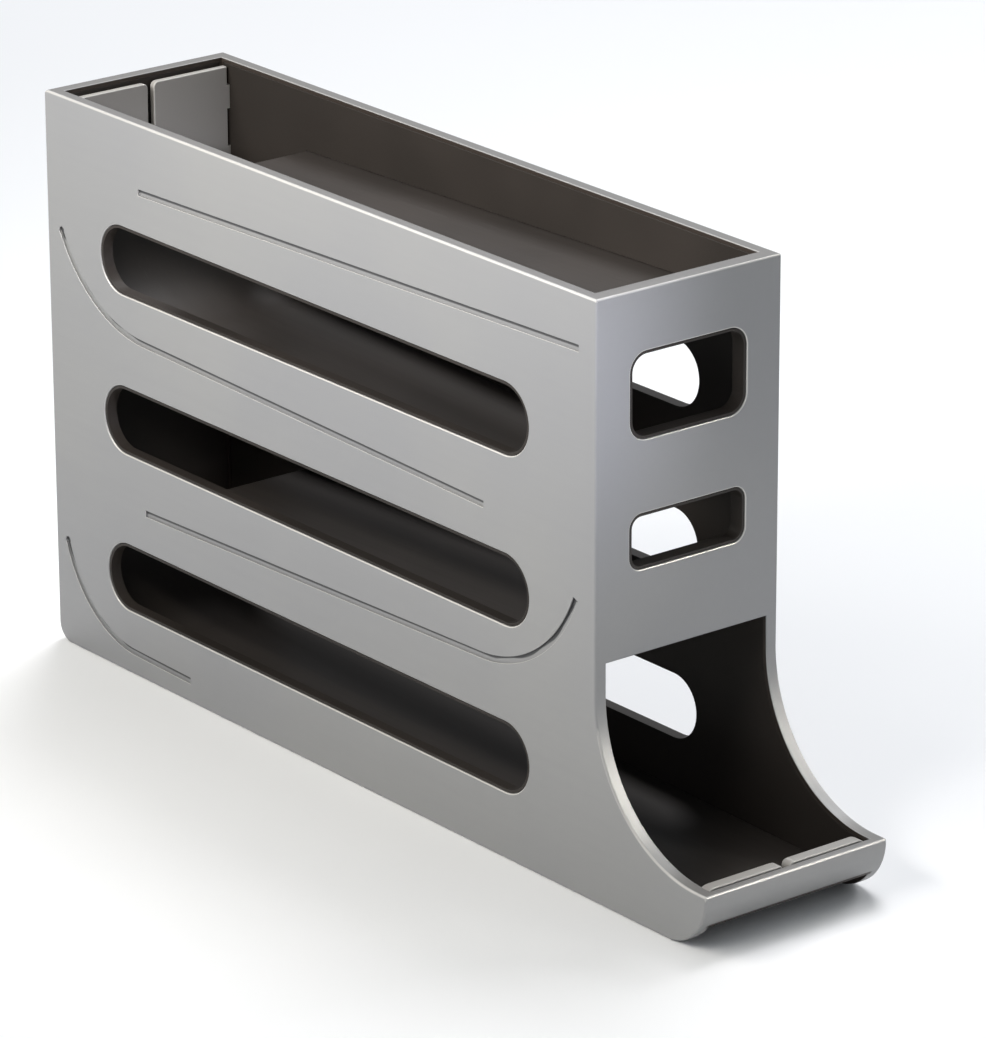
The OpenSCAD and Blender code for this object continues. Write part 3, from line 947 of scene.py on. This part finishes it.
def strip_width(face):
    """The width of a long face: its area over its longest side."""
    return face.calc_area() / max(edge.calc_length() for edge in face.edges)


def mark(mesh, name, rule):
    """Writes an attribute of the points; rule(point) gives its value."""
    shape = bmesh.new()
    shape.from_mesh(mesh)
    values = [float(rule(vert)) for vert in shape.verts]
    shape.free()
    attribute = mesh.attributes.new(name, "FLOAT", "POINT")
    attribute.data.foreach_set("value", values)


def in_rounded_edge(vert):
    """Whether a point lies between the narrow strips of a rounded edge."""
    turn = max((edge.calc_face_angle(0) for edge in vert.link_edges), default=0)
    widest = max((strip_width(face) for face in vert.link_faces), default=0)
    return turn > STRIP_TURN and NARROW < widest < BROAD


def finish_piece(obj, node, material, angle=32, highlight_rule=None):
    """Shades and finishes a piece, marks its painted highlight, and puts it in place of a node."""
    obj.data.materials.clear()
    obj.data.materials.append(material)
    obj.data.shade_smooth()
    obj.data.set_sharp_from_angle(angle=math.radians(angle))
    step = obj.modifiers.new("normals", "WEIGHTED_NORMAL")
    step.keep_sharp = True
    settle(obj)
    # The points of the rounded edges, or those a given rule picks, are marked for a painted
    # highlight.
    mark(obj.data, "painted_edge_highlight", highlight_rule or in_rounded_edge)
    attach(obj, "root")
    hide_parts(node)
    return obj


# %% [markdown]
# The shells have two marks more. The floor of a traced line is painted dark where it
# lies under the line's upper wall, a painted shadow, and the narrow inner faces have the
# liners' colour. The painted highlight on the rounded edges also differs from place to
# place: it is strong on the rim, the lip, the windows and the lower half of the slots,
# and hardly there on the long upright corners. A ring of points just under the rim's
# rounded edge keeps the rim's painted highlight from running down the corners.

# %% Painted highlights on the shells
# The height of the rim's band of painted highlight, and the strengths of the painted highlight.
HIGHLIT_RIM_H = 0.9 * MM
RING_GAP = 0.05 * MM
GROOVE_EDGE_HIGHLIGHT = 0.9
INNER_EDGE_HIGHLIGHT = 0.12
RIM_HIGHLIGHT = 0.5
LIP_HIGHLIGHT = 0.45
WINDOW_HIGHLIGHT = 0.7
SCOOP_HIGHLIGHT = 0.4
SLOT_HIGHLIGHT = (0.1, 0.9)


def under_line_wall(vert):
    """Whether a point is at the bottom of a traced line, under its upper wall."""
    sunk = near(abs(vert.co.y), half_w - LINE_D, 0.02 * MM)
    walls = [face.normal.z for face in vert.link_faces if abs(face.normal.y) < 0.5]
    return sunk and bool(walls) and min(walls) < -0.05


def on_inner_face(vert):
    """Whether a point of a shell lies on an inner face, which has the liners' colour."""
    x, y = vert.co.x, abs(vert.co.y)
    return near(y, inner_y) or near(x, back_in) or near(x, front_in) and y < inner_y


def slice_level(mesh, height):
    """Adds a ring of points at a height, so that an attribute can stop there."""
    shape = bmesh.new()
    shape.from_mesh(mesh)
    parts = [*shape.verts, *shape.edges, *shape.faces]
    bmesh.ops.bisect_plane(shape, geom=parts, plane_co=(0, 0, height), plane_no=(0, 0, 1))
    shape.to_mesh(mesh)
    shape.free()


def slot_highlight_strength(z):
    """Little painted highlight on a slot's upper edge, and more towards its lower one."""
    tier = round((z - SLOT_Z) / TIER_PITCH)
    below = (SLOT_Z + tier * TIER_PITCH - z) / (SLOT_H / 2)
    return min(max(below * 1.2 - 0.2, SLOT_HIGHLIGHT[0]), SLOT_HIGHLIGHT[1])


def shell_highlight_strength(vert):
    """How strong the painted highlight on a point of a shell is, from 0 to 1."""
    x, y, z = vert.co.x, abs(vert.co.y), vert.co.z
    if not in_rounded_edge(vert):
        narrow = max((strip_width(face) for face in vert.link_faces), default=0) < NARROW
        return GROOVE_EDGE_HIGHLIGHT if narrow and vert.normal.z > 0.2 else 0.0
    depths = (x - back_x, front_x - x, half_w - y) if x < front_x else (half_w - y,)
    if min(depths) > OUTER_ROUND and (z > rim_z - MM or x > front_x):
        return INNER_EDGE_HIGHLIGHT
    if z > rim_z - HIGHLIT_RIM_H:
        return RIM_HIGHLIGHT
    if x > lip_start and z > lip_top - MM:
        return LIP_HIGHLIGHT
    if back_x + SLOT_REAR / 2 < x < front_x - SLOT_FRONT / 2 and z > lip_top:
        return slot_highlight_strength(z)
    if y < WINDOW_W / 2 + MM and z > front_z + CLEAR:
        return WINDOW_HIGHLIGHT
    return SCOOP_HIGHLIGHT if x > front_x + MM and z > lip_top else 0.0


shell_nodes = {
    "left_shell": "left_side_panel",
    "right_shell": "right_side_panel",
    "front_shell": "front_panel",
    "back_shell": "back_panel",
    "lip_shell": "front_lip",
}
for name, node in shell_nodes.items():
    slice_level(shells[name].data, rim_z - HIGHLIT_RIM_H - RING_GAP)
    # The floor of each traced line under its upper wall is marked for a painted shadow.
    mark(shells[name].data, "painted_line_shadow", under_line_wall)
    mark(shells[name].data, "inner_face", on_inner_face)
    finish_piece(shells[name], node, shell_finish, highlight_rule=shell_highlight_strength)

# %% [markdown]
# The liners have the right shape already, with thin collars that line the slots and
# windows. They only need softer edges, so each is a copy of its node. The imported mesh
# is loose triangles: the copy is merged, flat neighbours are joined to whole faces,
# and the sharp edges are rounded a little.

# %% Soften the liners
LINER_ROUND = 0.22 * MM


def soft_copy(node, name):
    """A merged copy of a node's mesh, with flat neighbours joined."""
    shape = bmesh.new()
    shape.from_mesh(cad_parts[node].data)
    bmesh.ops.remove_doubles(shape, verts=shape.verts, dist=SAME_PLACE)
    flat = math.radians(0.3)
    bmesh.ops.dissolve_limit(shape, angle_limit=flat, verts=shape.verts, edges=shape.edges)
    mesh = bpy.data.meshes.new(name)
    shape.to_mesh(mesh)
    shape.free()
    return add_object(name, mesh)


for node in ("left_liner", "right_liner", "front_liner", "back_liner"):
    liner = soft_copy(node, node + "_soft")
    round_edges(liner, lambda middle: LINER_ROUND, LINER_ROUND, sharpest=50, segments=2)
    finish_piece(liner, node, liner_finish)

# %% [markdown]
# The floor board's front end turns up behind the lip. Its top edge carries a light cap
# that is thicker than the sheet, and a slit in the middle parts it in two. The cap is
# cut out of the board first, so that the two meet face to face. Both then lose their
# outer top corners to the same rounded outline.

# %% The boards
BOARD_ROUND = 0.45 * MM
CAP_ROUND = 0.6 * MM
CAP_H = 2.93 * MM
SLIT_W = 2.6 * MM
SLIT_CORNER = 2.0 * MM
CAP_CORNER = 5.5 * MM
STOP_SLIT_D = 9 * MM


def slit_outline(top, depth):
    """A slit open at the top, with a round mouth, seen from the front."""
    side, mouth = SLIT_W / 2, SLIT_W / 2 + SLIT_CORNER
    low = top - SLIT_CORNER
    right = [(side, top - depth)] + arc(mouth, low, SLIT_CORNER, 180, 90, 8)
    right.append((mouth, top + CLEAR))
    return right + [(-y, z) for y, z in reversed(right)]


board_y = -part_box("upper_ramp")[0].y
boards = {}
paths = {"top": top_path, "upper": upper_path, "lower": lower_path, "floor": floor_path}
for name, path in paths.items():
    boards[name] = bent_sheet(name + "_board", path, -board_y, board_y, BOARD_T)
    node_low, node_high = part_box(name + "_ramp")
    size = [(node_high - node_low)[i] - boards[name].dimensions[i] for i in (0, 1, 2)]
    print(name, "board differs from its node by", [round(v / MM, 3) for v in size], "mm")

downwards = math.radians(270) - FLOOR_SLOPE
inner_top = along(stop_edge, math.pi - FLOOR_SLOPE, STOP_BEAD)
cap_low = [along(corner, downwards, CAP_H) for corner in (inner_top, stop_edge)]
cap = slab("stop_cap", [stop_edge, inner_top, *cap_low], -board_y, board_y)
cut(boards["floor"], cap, keep=True)
slit_mouth = slit_outline(stop_edge[1], STOP_SLIT_D)
for piece in (boards["floor"], cap):
    cut(piece, slab("slit", slit_mouth, lip_in - FOOT_R, lip_x, axis="X"))
ABOVE_CAP = 0.02 * MM
round_top = inner_top[1] + ABOVE_CAP
quarter = arc(board_y - CAP_CORNER, round_top - CAP_CORNER, CAP_CORNER, 0, 90, 10)
round_ends = [(board_y, 0), *quarter, *((-y, z) for y, z in reversed(quarter)), (-board_y, 0)]
corner_z = round_top - CAP_CORNER
corners = block("corners", (lip_in - FOOT_R, -half_w, corner_z), (lip_x, half_w, rim_z))
cut(corners, slab("round_ends", round_ends, lip_in - FOOT_R - CLEAR, lip_x + CLEAR, axis="X"))
cut(boards["floor"], corners, keep=True)
cut(cap, corners)
round_edges(cap, lambda middle: CAP_ROUND, CAP_ROUND)
finish_piece(cap, "floor_ramp", trim_finish)


def board_radius(middle):
    under_cap = middle.x > lip_in - FOOT_R and middle.z > stop_edge[1] - 1.2 * CAP_H
    return 0.0 if under_cap else BOARD_ROUND


for name, board in boards.items():
    round_edges(board, board_radius, BOARD_ROUND, sharpest=50)
    finish_piece(board, name + "_ramp", board_finish)

# %% [markdown]
# A flat plate stands at the rear, above the top board's drop, and keeps what rolls down
# in line. It is cut from a light sheet, with a slit from above and two tongues on
# each side that fit the liners.

# %% The rear guide
GUIDE_Y = half_w - 5.4 * MM
GUIDE_UNCUT = 16 * MM
TONGUE_H = 9 * MM
guide_low, guide_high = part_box("rear_guide")
span = guide_high.z - guide_low.z
edge_of_guide = [(GUIDE_Y, guide_low.z)]
for z in (guide_low.z + span / 4, guide_low.z + span * 3 / 4):
    edge_of_guide += [(GUIDE_Y, z - TONGUE_H / 2), (guide_high.y, z - TONGUE_H / 2)]
    edge_of_guide += [(guide_high.y, z + TONGUE_H / 2), (GUIDE_Y, z + TONGUE_H / 2)]
edge_of_guide.append((GUIDE_Y, guide_high.z))
mirrored = [(-y, z) for y, z in reversed(edge_of_guide)]
guide = slab("rear_guide_plate", edge_of_guide + mirrored, guide_low.x, guide_high.x, axis="X")
guide_slit = slit_outline(guide_high.z, span - GUIDE_UNCUT)
cut(guide, slab("slit", guide_slit, guide_low.x - CLEAR, guide_high.x + CLEAR, axis="X"))
round_edges(guide, lambda middle: BOARD_ROUND, BOARD_ROUND)
finish_piece(guide, "rear_guide", trim_finish)

# %% [markdown]
# The floor is a wide, pale plane with a trace of unevenness in its gloss. It fills the
# whole view, because the camera looks down on the rack.

# %% Pale floor
def make_floor_finish():
    material, tree, shader, place = start_finish("pale_floor")
    clouds = grain(tree, place, 3.0)
    tone = blend(tree, clouds, (0.93, 0.93, 0.93), (0.95, 0.95, 0.95))
    plug(tree, shader, Base_Color=tone, Roughness=0.75 + clouds * 0.1)
    return material


floor_mesh = bpy.data.meshes.new("floor")
reach = 6
corners = [(-reach, -reach, 0), (reach, -reach, 0), (reach, reach, 0), (-reach, reach, 0)]
floor_mesh.from_pydata(corners, [], [(0, 1, 2, 3)])
floor = add_object("floor", floor_mesh)
floor.data.materials.append(make_floor_finish())
floor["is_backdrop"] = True

# %% [markdown]
# Two large soft lamps hang over the rack, a little behind it, so that the shadow falls
# softly in front. A small lamp warms the long side. That side is brighter at the top
# than at the bottom: a level strip of light above the rim does that, and a wide one
# behind a honeycomb grid, which keeps its light off the floor. A narrow strip brightens
# the front's near edge, a weak lamp fills the far side, and three small lamps that only
# show in reflections put a long gleam on the near scoop. The world is a pale blue, so
# that no shadow turns black.

# %% Light
def soft_lamp(name, place, target, size, power, colour, tall=None, grid=180):
    """A round lamp, or a strip if it has a height; a grid narrows its beam, in degrees."""
    data = bpy.data.lights.new(name, "AREA")
    data.shape = "RECTANGLE" if tall else "DISK"
    data.size = size
    data.size_y = tall or size
    data.energy = power
    data.color = colour
    data.spread = math.radians(grid)
    lamp = bpy.data.objects.new(name, data)
    lamp.location = place
    lamp.rotation_euler = (Vector(target) - Vector(place)).to_track_quat("-Z", "Y").to_euler()
    bpy.context.scene.collection.objects.link(lamp)
    return lamp


WHITE = (0.98, 0.98, 1.0)
WARM = (1.0, 0.96, 0.88)
COOL = (0.87, 0.88, 1.0)
soft_lamp("rear_ceiling_lamp", (-1.2, 1.6, 3.2), (-0.6, 0.9, 0), 1.6, 69, WHITE)
soft_lamp("ceiling_lamp", (-0.45, 0.5, 3.0), (0, 0.2, 0), 1.2, 10, WHITE)
soft_lamp("side_lamp", (-0.22, -0.30, 0.54), (-0.02, 0, 0.18), 0.22, 0.86, WARM)
soft_lamp("rim_strip", (0, -0.35, 0.38), (0, 0, 0.38), 0.5, 1.37, WARM, tall=0.06)
soft_lamp("side_strip", (-0.05, -0.9, 0.75), (0, 0, 0.45), 0.9, 1.5, WHITE, tall=0.2, grid=50)
front_strip = ((0.95, -0.13, 0.38), (0.127, -0.05, 0.195))
soft_lamp("front_strip", *front_strip, 0.02, 0.024, COOL, tall=0.1, grid=9)
soft_lamp("far_side_fill", (-0.1, 1.5, 0.9), (0, 0.05, 0.12), 0.5, 0.75, WHITE, grid=60)
GLEAM_SIZE = 0.15
GLEAM_GRID = 15
GLEAMS = (
    ("high_gleam", (0.507, 0.248, 0.182), (0.131, -0.037, 0.0535), 0.025),
    ("middle_gleam", (0.42, 0.26, 0.31), (0.136, -0.037, 0.043), 0.037),
    ("low_gleam", (0.274, 0.248, 0.410), (0.144, -0.037, 0.0345), 0.027),
)
for name, place, target, power in GLEAMS:
    gleam = soft_lamp(name, place, target, GLEAM_SIZE, power, WARM, grid=GLEAM_GRID)
    gleam.visible_diffuse = False
world = bpy.data.worlds.new("studio")
world.use_nodes = True
sky = world.node_tree.nodes["Background"]
sky.inputs["Color"].default_value = (0.875, 0.937, 1.0, 1)
sky.inputs["Strength"].default_value = 0.355
bpy.context.scene.world = world
bpy.context.scene.view_settings.view_transform = "Standard"
print("lamps:", len(bpy.data.lights))

# %% [markdown]
# Last, the sizes of the imported model and of the finished one are printed side by side.
# The finished pieces may not be larger than the imported ones.

# %% Print both sizes
seen_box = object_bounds()
plain = {"cad": [list(corner) for corner in cad_box], "visual": [list(c) for c in seen_box]}
for name, box in plain.items():
    print(name, [[round(v / MM, 2) for v in corner] for corner in box])
